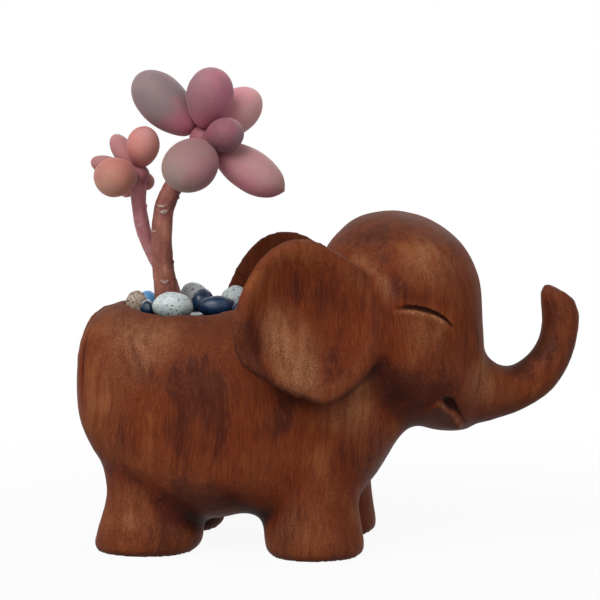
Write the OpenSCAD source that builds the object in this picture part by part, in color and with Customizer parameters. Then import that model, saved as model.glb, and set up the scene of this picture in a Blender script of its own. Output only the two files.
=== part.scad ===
/* [Elephant] */
// Overall length, from tail to trunk
pot_length = 181; // [150:1:230]
// Overall width, over the ears
pot_width = 100; // [88:1:125]
// Height of the elephant, floor to crown
pot_height = 119; // [100:1:150]
// Width of the barrel of the body
body_width = 85; // [74:1:100]
// Height of the back, where the well opens
back_height = 89; // [78:1:112]
// Width of the head across the cheeks
head_width = 62; // [52:1:70]
// Length of the head, from nape to forehead
head_length = 62.5; // [55:0.5:70]
// Turn of the head to the elephant's left, in degrees
head_turn = 12; // [0:1:16]
// Thickness of the trunk near its tip
trunk_d = 13; // [10:0.5:16]

/* [Legs] */
// Length of a hind foot
hind_foot_d = 38; // [32:1:42]
// Length of a front foot
front_foot_d = 34.6; // [30:0.1:40]
// Distance between the middles of the left and right feet
foot_track = 43; // [40:1:50]
// Distance between the middles of the hind and front feet
foot_wheelbase = 59.6; // [54:0.1:68]

/* [Ears and tail] */
// Length of an ear, front edge to back edge
ear_length = 52; // [42:1:58]
// Height of an ear
ear_height = 57; // [46:1:62]
// Thickness of an ear at its rolled edge
ear_thick = 6; // [4:0.5:8]
// Depth of the hollow in the face of an ear
ear_dish = 3.8; // [1:0.1:4.5]
// Angle at which an ear stands away from the head
ear_flare = 17.5; // [8:0.5:20]
// Thickness of the tail
tail_d = 6.4; // [5:0.1:8]

/* [Well] */
// Diameter of the planting well at its mouth
well_d = 55; // [44:1:58]
// Thickness of the floor under the well
floor_thick = 6; // [4:0.5:10]
// Diameter of the drain hole
drain_d = 8; // [5:0.5:12]
// Height of the soil surface above the floor
soil_level = 80; // [68:0.5:81]
// Gap between the soil and the wall of the well
soil_gap = 0.3; // [0.2:0.05:0.6]

/* [Plant] */
// Thickness of the main stem at its foot
main_stem_d = 8.2; // [6:0.1:10]
// Thickness of the side stem at its foot
side_stem_d = 5.8; // [4:0.1:7]
// Height of the main stem's crown above the soil
main_stem_h = 64.2; // [50:0.1:80]
// Drop from the main stem's crown to the side stem's crown
crown_drop = 12.7; // [11:0.1:22]
// Length of the largest leaf on the main stem
main_leaf_l = 29; // [22:0.5:32]
// Thickness of the largest leaf on the main stem
main_leaf_w = 19; // [14:0.5:20]
// Length of the largest leaf on the side stem
side_leaf_l = 16.5; // [12:0.5:18]
// Thickness of the largest leaf on the side stem
side_leaf_w = 13.5; // [9:0.5:14]
// Depth of a stem's foot in the soil
root_depth = 14; // [8:1:24]

/* [Pebbles] */
// Length of the largest pebble
pebble_l = 14.4; // [11:0.1:15]
// Gap between things that lie on or against each other
rest_gap = 0.25; // [0.1:0.05:0.4]

/* [Hidden] */

// Colours
stain_brown = "#6b3320";
soil_black = "#221d1b";
stem_pink = "#9a5c4e";
leaf_mauve = "#b9888c";
leaf_peach = "#d99f92";
stone_white = "#c9c6bd";
stone_brown = "#8a6a50";
stone_sky = "#9fb6cc";
stone_navy = "#24486e";
stone_grey = "#8e9192";

// One overrun for every cut
over = 1;
// Sides of the rings that make up the body, the limbs, an ear and the stems
body_sides = 36;
limb_sides = 24;
stem_sides = 12;
// Rings laid between two rows of a table
row_steps = 2;
// Squareness of a section: 2 is an ellipse, more is boxier
body_fullness = 2.7;
belly_fullness = 3.6;
head_fullness = 2.15;
limb_fullness = 2.2;

// Body, from rump to chest: along (of pot_length), height of the widest level,
// underside and top (of pot_height and back_height), half width (of body_width)
body_shares = [
    [-0.487, 0.487, 0.475, 0.668, 0.018],
    [-0.484, 0.487, 0.445, 0.730, 0.106],
    [-0.477, 0.483, 0.408, 0.792, 0.206],
    [-0.465, 0.470, 0.360, 0.865, 0.290],
    [-0.445, 0.458, 0.302, 0.925, 0.360],
    [-0.411, 0.445, 0.227, 0.966, 0.417],
    [-0.362, 0.430, 0.168, 0.989, 0.465],
    [-0.302, 0.420, 0.122, 0.996, 0.492],
    [-0.237, 0.415, 0.090, 1.000, 0.500],
    [-0.166, 0.415, 0.076, 1.000, 0.494],
    [-0.094, 0.415, 0.076, 1.002, 0.476],
    [-0.028, 0.420, 0.088, 1.020, 0.447],
    [0.028, 0.437, 0.113, 1.045, 0.412],
    [0.071, 0.454, 0.151, 1.056, 0.370],
    [0.111, 0.480, 0.223, 1.034, 0.318],
    [0.144, 0.504, 0.311, 0.989, 0.253],
    [0.169, 0.530, 0.361, 0.933, 0.165],
    [0.182, 0.546, 0.437, 0.876, 0.082],
    [0.188, 0.555, 0.520, 0.798, 0.024]
];

// Head, from crown to chin: height (of pot_height), nape and forehead from the
// middle of the head (of head_length), half width (of head_width)
head_shares = [
    [1.000, -0.030, 0.010, 0.020],
    [0.996, -0.100, 0.070, 0.100],
    [0.985, -0.180, 0.150, 0.185],
    [0.966, -0.250, 0.227, 0.266],
    [0.940, -0.304, 0.304, 0.335],
    [0.905, -0.363, 0.378, 0.400],
    [0.857, -0.416, 0.440, 0.452],
    [0.800, -0.464, 0.485, 0.487],
    [0.740, -0.488, 0.500, 0.500],
    [0.670, -0.496, 0.505, 0.500],
    [0.605, -0.480, 0.512, 0.492],
    [0.546, -0.432, 0.520, 0.476],
    [0.488, -0.352, 0.528, 0.435],
    [0.437, -0.240, 0.528, 0.370],
    [0.395, -0.080, 0.512, 0.282],
    [0.366, 0.080, 0.480, 0.194],
    [0.345, 0.208, 0.432, 0.113],
    [0.338, 0.320, 0.368, 0.030]
];
// Middle of the head and the neck that it turns on (of pot_length)
head_place_share = 0.138;
neck_place_share = 0.083;

// Trunk, from its root in the face to its tip: along (of pot_length), height
// (of pot_height), half thickness and half width (of trunk_d), slope in degrees
trunk_shares = [
    [0.221, 0.487, 1.150, 1.690, -10],
    [0.277, 0.470, 1.080, 1.350, -5],
    [0.321, 0.462, 0.920, 1.000, 0],
    [0.348, 0.456, 0.746, 0.830, 5],
    [0.372, 0.459, 0.646, 0.708, 14],
    [0.400, 0.477, 0.608, 0.660, 30],
    [0.428, 0.508, 0.577, 0.615, 46],
    [0.451, 0.555, 0.523, 0.560, 63],
    [0.465, 0.608, 0.492, 0.515, 78],
    [0.471, 0.672, 0.500, 0.492, 86],
    [0.466, 0.742, 0.600, 0.477, 56],
    [0.4725, 0.7555, 0.440, 0.350, 56]
];

// Tail, down the middle of the rump: along (of pot_length), height (of
// pot_height), half thickness (of tail_d)
tail_shares = [
    [-0.434, 0.710, 0.20],
    [-0.459, 0.668, 0.42],
    [-0.475, 0.598, 0.52],
    [-0.482, 0.526, 0.52],
    [-0.479, 0.454, 0.52],
    [-0.468, 0.395, 0.52],
    [-0.456, 0.348, 0.36],
    [-0.450, 0.322, 0.14]
];

// Legs, from the sole up: height (of leg_height), shift forwards and half length
// (of the foot's length), middle's distance from the body's middle (of half the
// track), half width (of the foot's length)
hind_leg_shares = [
    [0.000, 0.000, 0.442, 1.00, 0.400],
    [0.021, 0.000, 0.482, 1.00, 0.437],
    [0.070, 0.021, 0.500, 1.00, 0.453],
    [0.158, 0.039, 0.484, 1.00, 0.437],
    [0.263, 0.047, 0.445, 0.99, 0.405],
    [0.368, 0.053, 0.426, 0.98, 0.395],
    [0.491, 0.055, 0.460, 0.96, 0.421],
    [0.632, 0.066, 0.540, 0.92, 0.474],
    [0.789, 0.110, 0.640, 0.85, 0.540],
    [1.000, 0.170, 0.680, 0.75, 0.579]
];
front_leg_shares = [
    [0.000, 0.000, 0.439, 1.00, 0.434],
    [0.021, 0.000, 0.480, 1.00, 0.471],
    [0.070, -0.009, 0.500, 1.00, 0.491],
    [0.158, -0.026, 0.494, 1.00, 0.480],
    [0.263, -0.038, 0.480, 0.99, 0.462],
    [0.368, -0.046, 0.474, 0.98, 0.457],
    [0.509, -0.072, 0.506, 0.94, 0.477],
    [0.667, -0.116, 0.564, 0.88, 0.520],
    [0.877, -0.173, 0.607, 0.75, 0.578]
];
leg_height_share = 0.48;
leg_height = leg_height_share * pot_height;
front_foot_place_share = -0.002;
front_foot_x = front_foot_place_share * pot_length;
hind_foot_x = front_foot_x - foot_wheelbase;

// Outline of an ear around its middle: along (of ear_length), height (of ear_height)
ear_outline_shares = [
    [0.020, 0.498], [-0.160, 0.490], [-0.317, 0.388], [-0.427, 0.226], [-0.490, 0.065],
    [-0.500, -0.070], [-0.448, -0.225], [-0.250, -0.337], [-0.023, -0.454],
    [0.096, -0.500], [0.225, -0.456], [0.354, -0.365], [0.454, -0.247],
    [0.500, -0.070], [0.492, 0.133], [0.352, 0.323], [0.154, 0.440]
];
// Skin of an ear, from the side that faces the head to the hollow face: how much
// of the outline, and how far out (of half the thickness, and of the hollow)
ear_skin_shares = [
    [0.04, -1.00, 0.00], [0.60, -1.00, 0.00], [0.88, -0.86, 0.00], [0.97, -0.50, 0.00],
    [1.00, 0.00, 0.00], [0.98, 0.52, 0.00], [0.93, 0.90, 0.00], [0.87, 1.00, 0.00],
    [0.80, 1.00, 0.22], [0.68, 1.00, 0.60], [0.50, 1.00, 0.88], [0.25, 1.00, 0.98],
    [0.04, 1.00, 1.00]
];
// Middle of an ear (of pot_length and pot_height)
ear_place_shares = [-0.046, 0.689];
// How far an ear's front edge stands from the middle of the head (of head_width)
ear_root_share = 0.425;
// Angle at which the lobe hangs away from the head
ear_hang = 5.6;

// Rows between the rows of a table, on a smooth curve through all of them
function row_at(rows, i) = rows[max(0, min(len(rows) - 1, i))];
function curve(a, b, c, d, f) =
    b + f * (c - a) / 2 + f * f * (a - 2.5 * b + 2 * c - d / 2)
    + f * f * f * (1.5 * (b - c) + (d - a) / 2);
function on_rows(rows, t) =
    let (i = floor(t))
    curve(row_at(rows, i - 1), row_at(rows, i), row_at(rows, i + 1), row_at(rows, i + 2), t - i);
function smooth_rows(rows, steps = row_steps) =
    [for (i = [0 : (len(rows) - 1) * steps]) on_rows(rows, i / steps)];
function on_loop(rows, t) =
    let (n = len(rows), i = floor(t))
    curve(rows[(i + n - 1) % n], rows[i % n], rows[(i + 1) % n], rows[(i + 2) % n], t - i);
function smooth_loop(rows, steps = row_steps) =
    [for (i = [0 : len(rows) * steps - 1]) on_loop(rows, i / steps)];

function unit(v) = v / norm(v);
function bulge(s, fullness) = sign(s) * pow(abs(s), 2 / fullness);
function flat(lists) = [for (list = lists) each list];

// A solid over a row of rings, each of as many points, with a flat end on both
module skin(rings) {
    n = len(rings[0]);
    last = (len(rings) - 1) * n;
    polyhedron(
        points = flat(rings),
        faces = concat(
            [[for (i = [0 : n - 1]) i]],
            [for (j = [0 : n : last - n], i = [0 : n - 1])
                [j + (i + 1) % n, j + i, j + n + i]],
            [for (j = [0 : n : last - n], i = [0 : n - 1])
                [j + (i + 1) % n, j + n + i, j + n + (i + 1) % n]],
            [[for (i = [n - 1 : -1 : 0]) last + i]]
        )
    );
}

// Rings of the body, upright across its length
body_rings = [
    for (r = smooth_rows(body_shares))
        let (mid = r[1] * pot_height, low = r[2] * pot_height, top = r[3] * back_height)
        [for (k = [0 : body_sides - 1])
            let (a = 360 * k / body_sides, fullness = sin(a) > 0 ? body_fullness : belly_fullness)
            [
                r[0] * pot_length,
                r[4] * body_width * bulge(cos(a), fullness),
                mid + (sin(a) > 0 ? top - mid : mid - low) * bulge(sin(a), fullness)
            ]]
];

// Rings of the head, level, from crown to chin, before the head is turned
head_rings = [
    for (r = smooth_rows(head_shares))
        let (mid = (r[1] + r[2]) / 2 * head_length, half = (r[2] - r[1]) / 2 * head_length)
        [for (k = [0 : body_sides - 1])
            let (a = 360 * k / body_sides)
            [
                head_place_share * pot_length + mid + half * bulge(cos(a), head_fullness),
                -r[3] * head_width * bulge(sin(a), head_fullness),
                r[0] * pot_height
            ]]
];

// Rings of the trunk, square to its run, before the head is turned
trunk_rings = [
    for (r = smooth_rows(trunk_shares))
        [for (k = [0 : limb_sides - 1])
            let (a = 360 * k / limb_sides, reach = r[2] * trunk_d * sin(a))
            [
                r[0] * pot_length - reach * sin(r[4]),
                r[3] * trunk_d * cos(a),
                r[1] * pot_height + reach * cos(r[4])
            ]]
];

// Rings of an ear, side -1 for the right one and 1 for the left one
function ear_rings(side) = [
    for (s = ear_skin_shares)
        let (out = s[1] * ear_thick / 2 - s[2] * ear_dish)
        [for (p = smooth_loop(ear_outline_shares))
            let (
                x = p[0] * s[0] * ear_length,
                z = p[1] * s[0] * ear_height,
                stand = (ear_length / 2 - x) * tan(ear_flare) + (ear_height / 2 - z) * tan(ear_hang)
            )
            [
                ear_place_shares[0] * pot_length + x,
                side * (ear_root_share * head_width + stand + out),
                ear_place_shares[1] * pot_height + z
            ]]
];

// Rings of a leg, level, from the sole up
function leg_rings(shares, foot_x, foot_d, side) = [
    for (r = smooth_rows(shares))
        [for (k = [0 : limb_sides - 1])
            let (a = 360 * k / limb_sides)
            [
                foot_x + foot_d * (r[1] + r[2] * bulge(cos(a), limb_fullness)),
                side * r[3] * foot_track / 2 + foot_d * r[4] * bulge(sin(a), limb_fullness),
                r[0] * leg_height
            ]]
];

// Rings of the tail
tail_rings = [
    for (r = smooth_rows(tail_shares))
        [for (k = [0 : stem_sides - 1])
            let (a = 360 * k / stem_sides)
            [
                r[0] * pot_length - r[2] * tail_d * cos(a),
                r[2] * tail_d * sin(a),
                r[1] * pot_height
            ]]
];

// A point of the head after the head has turned on the neck
neck_x = neck_place_share * pot_length;
function turned(p) = [
    neck_x + (p[0] - neck_x) * cos(head_turn) - p[1] * sin(head_turn),
    (p[0] - neck_x) * sin(head_turn) + p[1] * cos(head_turn),
    p[2]
];
function turned_rings(rings) = [for (ring = rings) [for (p = ring) turned(p)]];

// The box that holds the whole figure, and the factors that bring it to size
figure_points = concat(
    flat(body_rings), flat(tail_rings),
    flat(turned_rings(trunk_rings)), flat(turned_rings(head_rings)),
    flat(turned_rings(ear_rings(-1))), flat(turned_rings(ear_rings(1)))
);
figure_low = [for (i = [0 : 1]) min([for (p = figure_points) p[i]])];
figure_high = [for (i = [0 : 1]) max([for (p = figure_points) p[i]])];
figure_mid = (figure_low + figure_high) / 2;
figure_fit = [
    pot_length / (figure_high[0] - figure_low[0]),
    pot_width / (figure_high[1] - figure_low[1])
];

// The well: middle (of pot_length, from the figure's own middle), heights and widths
well_place_share = -0.249;
well_x = (well_place_share * pot_length - figure_mid[0]) * figure_fit[0];
well_y = -figure_mid[1] * figure_fit[1];
belly_level_share = 0.0905;
belly_level = belly_level_share * pot_height;
well_floor = belly_level + floor_thick;
well_r = well_d / 2;
drain_r = drain_d / 2;
// Turn of the well's round walls, so that they start off the figure's middle plane
well_turn = 7;
// Wall of the well, from the floor up: half width (of well_r), height (of its depth)
well_shares = [
    [0.34, 0.000], [0.47, 0.022], [0.60, 0.065], [0.71, 0.130], [0.79, 0.215],
    [0.86, 0.340], [0.915, 0.500], [0.955, 0.700], [0.98, 0.860], [1.00, 1.000]
];
well_depth = back_height - well_floor;
well_wall = [for (s = smooth_rows(well_shares)) [s[0] * well_r, well_floor + s[1] * well_depth]];
// The soil stands clear of the wall and of the floor
soil_low = well_floor + soil_gap;
soil_wall = [for (p = well_wall) if (p[1] < soil_level - soil_gap) p + [-soil_gap, soil_gap]];

// Stems: reach along and across from the well's middle (of well_r), height (of the
// stem's own height), half thickness (of its diameter)
side_stem_h = main_stem_h - crown_drop;
main_stem_shares = [
    [-0.400, -0.02, 0.00, 0.62], [-0.430, -0.02, 0.10, 0.56], [-0.490, -0.02, 0.30, 0.49],
    [-0.500, -0.01, 0.50, 0.47], [-0.462, 0.00, 0.63, 0.46], [-0.360, 0.00, 0.73, 0.45],
    [-0.225, 0.00, 0.83, 0.43], [-0.105, 0.00, 0.92, 0.43]
];
main_hub_shares = [0.050, 0.00, 1.00];
side_stem_shares = [
    [-0.395, 0.33, 0.00, 0.54], [-0.415, 0.33, 0.12, 0.52], [-0.480, 0.33, 0.24, 0.50],
    [-0.590, 0.32, 0.34, 0.48], [-0.700, 0.27, 0.46, 0.47], [-0.785, 0.18, 0.60, 0.47],
    [-0.828, 0.10, 0.76, 0.49], [-0.835, 0.06, 0.90, 0.51]
];
side_hub_shares = [-0.815, 0.05, 1.00];
// Half thickness of a crown, where the leaves sit (of the stem's diameter)
crown_share = 0.56;

function stem_point(s, stem_h) =
    [well_x + s[0] * well_r, well_y + s[1] * well_r, soil_level + s[2] * stem_h];
main_hub = stem_point(main_hub_shares, main_stem_h);
side_hub = stem_point(side_hub_shares, side_stem_h);

function ring_on(middle, heading, radius) =
    let (across = unit(cross([0, 1, 0], heading)), aside = cross(heading, across))
    [for (k = [0 : stem_sides - 1])
        let (a = 360 * k / stem_sides)
        middle + radius * (across * cos(a) + aside * sin(a))];

// Rings of a stem, from its foot in the soil to its round crown
function stem_rings(shares, hub, stem_h, stem_d) =
    let (
        rows = smooth_rows(shares),
        mids = [for (s = rows) stem_point(s, stem_h)],
        n = len(rows) - 1,
        foot = mids[0] - [0, 0, root_depth],
        crown_r = crown_share * stem_d,
        last = unit(hub - mids[n])
    )
    concat(
        [ring_on(foot, [0, 0, 1], rows[0][3] * stem_d)],
        [ring_on(mids[0] - [0, 0, rest_gap], [0, 0, 1], rows[0][3] * stem_d)],
        [for (i = [1 : n])
            ring_on(mids[i], unit(row_at(mids, i + 1) - mids[i - 1]), rows[i][3] * stem_d)],
        [for (a = [-50 : 20 : 70])
            ring_on(hub + last * crown_r * sin(a), last, crown_r * cos(a))],
        [ring_on(hub + last * crown_r, last, crown_r / 8)]
    );

// Leaves: heading from the crown, length and thickness (of the stem's largest leaf)
main_leaf_shares = [
    [-0.71, 0.06, 0.67, 1.00, 0.98],
    [0.20, -0.28, 0.93, 0.76, 0.90],
    [0.56, 0.63, 0.58, 0.86, 0.86],
    [0.70, -0.70, 0.12, 0.58, 0.66],
    [0.86, -0.08, -0.53, 1.02, 0.84],
    [-0.08, -0.86, -0.49, 0.88, 1.00]
];
side_leaf_shares = [
    [0.20, -0.28, 0.94, 0.90, 0.88],
    [-0.64, 0.44, 0.82, 0.98, 0.58],
    [-0.96, -0.04, 0.28, 0.90, 0.56],
    [-0.52, -0.82, -0.04, 0.98, 1.10],
    [-0.60, 0.62, -0.54, 0.60, 0.46],
    [0.02, 0.95, -0.24, 0.62, 0.50]
];
// Widest place of a leaf (of its length), its blunt tip beyond and its taper below
leaf_widest_share = 0.55;
leaf_rows = 8;
leaf_taper_power = 0.85;
function leaf_outline(l, w) =
    let (wide = l * leaf_widest_share, turn = 90 / leaf_rows)
    concat(
        [for (i = [0 : leaf_rows - 1])
            [w / 2 * pow(sin(turn * i), leaf_taper_power), wide * i / leaf_rows]],
        [for (i = [0 : leaf_rows])
            [w / 2 * cos(turn * i), wide + (l - wide) * sin(turn * i)]]
    );

// Pebbles: place from the well's middle (of well_r), half length, half width and
// half height (of half pebble_l), turn in degrees
pebble_shares = [
    [-0.255, -0.515, 1.00, 0.72, 0.70, 4],
    [-0.840, -0.060, 0.53, 0.55, 0.66, 60],
    [-0.770, 0.310, 0.56, 0.50, 0.62, 70],
    [-0.215, 0.700, 0.80, 0.64, 0.80, -12],
    [-0.030, 0.340, 0.62, 0.54, 0.66, 80],
    [0.240, -0.090, 0.92, 0.62, 0.56, 12],
    [0.350, 0.660, 0.78, 0.66, 0.72, 40],
    [-0.660, -0.200, 0.32, 0.29, 0.48, 20],
    [-0.610, -0.400, 0.40, 0.35, 0.46, -50],
    [-0.566, 0.620, 0.60, 0.52, 0.60, 50],
    [0.640, 0.330, 0.64, 0.56, 0.56, -60],
    [0.705, -0.050, 0.56, 0.50, 0.50, 10],
    [0.070, 0.860, 0.40, 0.34, 0.36, 0],
    [0.660, -0.430, 0.66, 0.54, 0.52, 60],
    [0.305, -0.690, 0.70, 0.54, 0.38, -20],
    [-0.050, 0.065, 0.36, 0.32, 0.36, 0]
];

// The cast figure: body, head with trunk and ears, legs and tail, without its well
module figure() {
    skin(body_rings);
    skin(tail_rings);
    skin(turned_rings(head_rings));
    skin(turned_rings(trunk_rings));
    for (side = [-1, 1]) {
        mirrored_skin(turned_rings(ear_rings(side)), side);
        skin(leg_rings(hind_leg_shares, hind_foot_x, hind_foot_d, side));
        skin(leg_rings(front_leg_shares, front_foot_x, front_foot_d, side));
    }
}

// A skin whose rings run the other way round on the left side
module mirrored_skin(rings, side) {
    n = len(rings[0]);
    skin(side < 0 ? rings : [for (ring = rings) [for (i = [0 : n - 1]) ring[n - 1 - i]]]);
}

module well() {
    rotate_extrude($fn = 96)
        polygon(concat(
            [[0, well_floor]],
            well_wall,
            [[well_r, pot_height], [0, pot_height]]
        ));
}

module drain_hole() {
    translate([0, 0, -over])
        cylinder(h = well_floor + 2 * over, r = drain_r, $fn = 48);
    translate([0, 0, -over])
        cylinder(h = belly_level + over, r = 2 * drain_r, $fn = 48);
}

module elephant_pot() {
    color(stain_brown)
        difference() {
            resize([pot_length, pot_width, pot_height])
                translate([-figure_mid[0], -figure_mid[1], 0])
                    figure();
            translate([well_x, well_y, 0])
                rotate([0, 0, well_turn]) {
                    well();
                    drain_hole();
                }
        }
}

// A straight socket in the soil for the foot of a stem
module socket(shares, stem_h, stem_d) {
    foot = stem_point(shares[0], stem_h);
    translate(foot - [0, 0, root_depth + rest_gap])
        cylinder(h = root_depth + rest_gap + over, r = shares[0][3] * stem_d + rest_gap, $fn = 48);
}

module soil() {
    color(soil_black)
        difference() {
            translate([well_x, well_y, 0])
                rotate_extrude($fn = 96)
                    polygon(concat(
                        [[0, soil_low]],
                        soil_wall,
                        [[soil_wall[len(soil_wall) - 1][0], soil_level], [0, soil_level]]
                    ));
            socket(main_stem_shares, main_stem_h, main_stem_d);
            socket(side_stem_shares, side_stem_h, side_stem_d);
        }
}

module main_stem() {
    color(stem_pink)
        skin(stem_rings(main_stem_shares, main_hub, main_stem_h, main_stem_d));
}

module side_stem() {
    color(stem_pink)
        skin(stem_rings(side_stem_shares, side_hub, side_stem_h, side_stem_d));
}

// A plump leaf that points away from the middle of its crown
module leaf(hub, crown_r, share, l, w) {
    heading = unit([share[0], share[1], share[2]]);
    translate(hub + heading * (crown_r + rest_gap))
        rotate([0, acos(heading[2]), atan2(heading[1], heading[0])])
            rotate_extrude($fn = 48)
                polygon(leaf_outline(l * share[3], w * share[4]));
}

module main_leaf(i) {
    color(leaf_mauve)
        leaf(main_hub, crown_share * main_stem_d, main_leaf_shares[i], main_leaf_l, main_leaf_w);
}

module side_leaf(i) {
    color(leaf_peach)
        leaf(side_hub, crown_share * side_stem_d, side_leaf_shares[i], side_leaf_l, side_leaf_w);
}

// A pebble that lies on the soil
module pebble(i, tint) {
    s = pebble_shares[i];
    half = [s[2], s[3], s[4]] * pebble_l / 2;
    color(tint)
        translate([
            well_x + s[0] * well_r,
            well_y + s[1] * well_r,
            soil_level + rest_gap + half[2]
        ])
            rotate([0, 0, s[5]])
                scale(half)
                    sphere(r = 1, $fn = 32);
}

elephant_pot();
soil();
main_stem();
side_stem();
main_leaf(0);  // main_leaf_left
main_leaf(1);  // main_leaf_top
main_leaf(2);  // main_leaf_back
main_leaf(3);  // main_leaf_small
main_leaf(4);  // main_leaf_right
main_leaf(5);  // main_leaf_front
side_leaf(0);  // side_leaf_top
side_leaf(1);  // side_leaf_high
side_leaf(2);  // side_leaf_left
side_leaf(3);  // side_leaf_front
side_leaf(4);  // side_leaf_low
side_leaf(5);  // side_leaf_right
pebble(0, stone_white);  // pebble_white_front
pebble(1, stone_brown);  // pebble_brown
pebble(2, stone_sky);  // pebble_sky
pebble(3, stone_white);  // pebble_white_back
pebble(4, stone_navy);  // pebble_navy_back
pebble(5, stone_navy);  // pebble_navy_middle
pebble(6, stone_white);  // pebble_white_right
pebble(7, stone_white);  // pebble_white_tiny
pebble(8, stone_navy);  // pebble_navy_tiny
pebble(9, stone_grey);  // pebble_grey_far
pebble(10, stone_sky);  // pebble_sky_far
pebble(11, stone_brown);  // pebble_brown_far
pebble(12, stone_white);  // pebble_white_far
pebble(13, stone_navy);  // pebble_navy_right
pebble(14, stone_white);  // pebble_white_near
pebble(15, stone_grey);  // pebble_grey_near
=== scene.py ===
import math
import random

import bmesh
import bpy
import numpy as np
from mathutils import Matrix, Vector, noise
from mathutils.bvhtree import BVHTree


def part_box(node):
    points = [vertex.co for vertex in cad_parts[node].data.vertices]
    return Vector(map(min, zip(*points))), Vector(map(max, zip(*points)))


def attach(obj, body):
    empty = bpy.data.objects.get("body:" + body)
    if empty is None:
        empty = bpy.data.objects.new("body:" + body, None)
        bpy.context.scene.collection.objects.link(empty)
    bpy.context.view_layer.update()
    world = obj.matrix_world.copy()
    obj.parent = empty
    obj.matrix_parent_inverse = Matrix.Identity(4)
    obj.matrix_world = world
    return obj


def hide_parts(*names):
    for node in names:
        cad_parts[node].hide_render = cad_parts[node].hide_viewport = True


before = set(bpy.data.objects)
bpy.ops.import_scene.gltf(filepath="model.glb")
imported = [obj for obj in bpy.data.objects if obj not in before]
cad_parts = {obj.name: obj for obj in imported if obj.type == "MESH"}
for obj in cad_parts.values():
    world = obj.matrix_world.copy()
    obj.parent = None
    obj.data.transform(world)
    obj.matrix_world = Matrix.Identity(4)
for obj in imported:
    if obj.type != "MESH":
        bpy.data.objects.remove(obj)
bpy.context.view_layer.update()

bl_info = {
    "name": "Elephant Planter",
    "version": (1, 0, 0),
    "blender": (4, 5, 0),
    "location": "3D View > Sidebar > Planter",
    "description": "Dresses the elephant planter and its succulent",
    "category": "Object",
}

MM = 0.001
POT = "pot"
PLANTING = "planting"


# Colours and nodes

COORDS = "ShaderNodeTexCoord"
ATTRIBUTE = "ShaderNodeAttribute"
MAPPING = "ShaderNodeMapping"
NOISE = "ShaderNodeTexNoise"
MATH = "ShaderNodeMath"
VECTOR_MATH = "ShaderNodeVectorMath"
RANGE = "ShaderNodeMapRange"
RAMP = "ShaderNodeValToRGB"
MIX = "ShaderNodeMix"
BUMP = "ShaderNodeBump"
LIGHT_PATH = "ShaderNodeLightPath"
# Places of a colour Mix node's sockets and of its output
SHARE, UNDER, OVER, MIXED = 0, 6, 7, 2


def paint(code):
    """An sRGB hex colour as linear red, green and blue."""
    parts = [int(code[i:i + 2], 16) / 255 for i in (1, 3, 5)]
    return tuple(c / 12.92 if c <= 0.04045 else ((c + 0.055) / 1.055) ** 2.4 for c in parts)


def opaque(colour):
    """A linear colour with full alpha, from a hex code or from its numbers."""
    return (*(paint(colour) if isinstance(colour, str) else tuple(colour)[:3]), 1.0)


def add(tree, kind, feeds=None, out=0, stops=(), **settings):
    """Adds a node, sets its properties, feeds its sockets with other nodes' outputs or with
    constants, fills a ramp's stops, and returns one output, or the node itself for out=None."""
    made = tree.nodes.new(kind)
    for name, value in settings.items():
        setattr(made, name, value)
    for name, value in (feeds or {}).items():
        socket = made.inputs[name]
        if isinstance(value, bpy.types.NodeSocket):
            tree.links.new(value, socket)
        else:
            socket.default_value = opaque(value) if socket.type == "RGBA" else value
    if stops:
        ramp = made.color_ramp
        while len(ramp.elements) < len(stops):
            ramp.elements.new(0.5)
        for element, (place, colour) in zip(ramp.elements, stops):
            element.position = place
            element.color = opaque(colour)
    return made if out is None else made.outputs[out]


def new_material(name):
    """An empty node material."""
    material = bpy.data.materials.new(name)
    material.use_nodes = True
    material.node_tree.nodes.clear()
    return material, material.node_tree


def per_cell(*sizes):
    """The Mapping scale at which a noise cell has those sizes in millimetres."""
    return [1 / (size * MM) for size in sizes]


# Settings

def colour_setting(name, description, code):
    """A colour property whose default is an sRGB hex code."""
    return bpy.props.FloatVectorProperty(
        name=name, description=description, default=paint(code), subtype="COLOR", min=0, max=1)


def length_setting(name, description, default, most, least=0.0):
    """A length property; its numbers come in millimetres."""
    return bpy.props.FloatProperty(
        name=name, description=description, default=default * MM, min=least * MM, max=most * MM,
        unit="LENGTH", precision=5)


# Shapes

def new_object(name, bm, material=None):
    """Ends the making of a mesh and puts it into the scene."""
    mesh = bpy.data.meshes.new(name)
    bm.to_mesh(mesh)
    bm.free()
    if material:
        mesh.materials.append(material)
    made = bpy.data.objects.new(name, mesh)
    bpy.context.scene.collection.objects.link(made)
    return made


def cad_copy(node):
    """A merged copy of a CAD node's loose triangles."""
    bm = bmesh.new()
    bm.from_mesh(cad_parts[node].data)
    bmesh.ops.remove_doubles(bm, verts=bm.verts, dist=0.001 * MM)
    return bm


def cad_points(node):
    """The places of a CAD node's merged vertices."""
    bm = cad_copy(node)
    points = places(bm)
    bm.free()
    return points



def recast(node, cell):
    """A CAD node's solid built again from even cells, ready to be carved."""
    block = new_object(node + "_cells", cad_copy(node))
    mesh = block.data
    cells = block.modifiers.new("cells", "REMESH")
    cells.mode = "VOXEL"
    cells.voxel_size = cell
    depsgraph = bpy.context.evaluated_depsgraph_get()
    made = bpy.data.meshes.new_from_object(block.evaluated_get(depsgraph))
    bpy.data.objects.remove(block)
    bpy.data.meshes.remove(mesh)
    bm = bmesh.new()
    bm.from_mesh(made)
    bpy.data.meshes.remove(made)
    if not bm.verts:
        raise RuntimeError(f"{node} gave no cells")
    return bm


def soften(bm, rounds, keep=-0.53, verts=None):
    """Smooths facets away; keep pushes back out, so that the form doesn't shrink."""
    verts = list(verts or bm.verts)
    for _ in range(rounds):
        for factor in (0.5, keep):
            if factor:
                bmesh.ops.smooth_vert(bm, verts=verts, factor=factor,
                                      use_axis_x=True, use_axis_y=True, use_axis_z=True)


def places(bm):
    return np.array([v.co for v in bm.verts])


def normals(bm):
    bm.normal_update()
    return np.array([v.normal for v in bm.verts])


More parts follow.
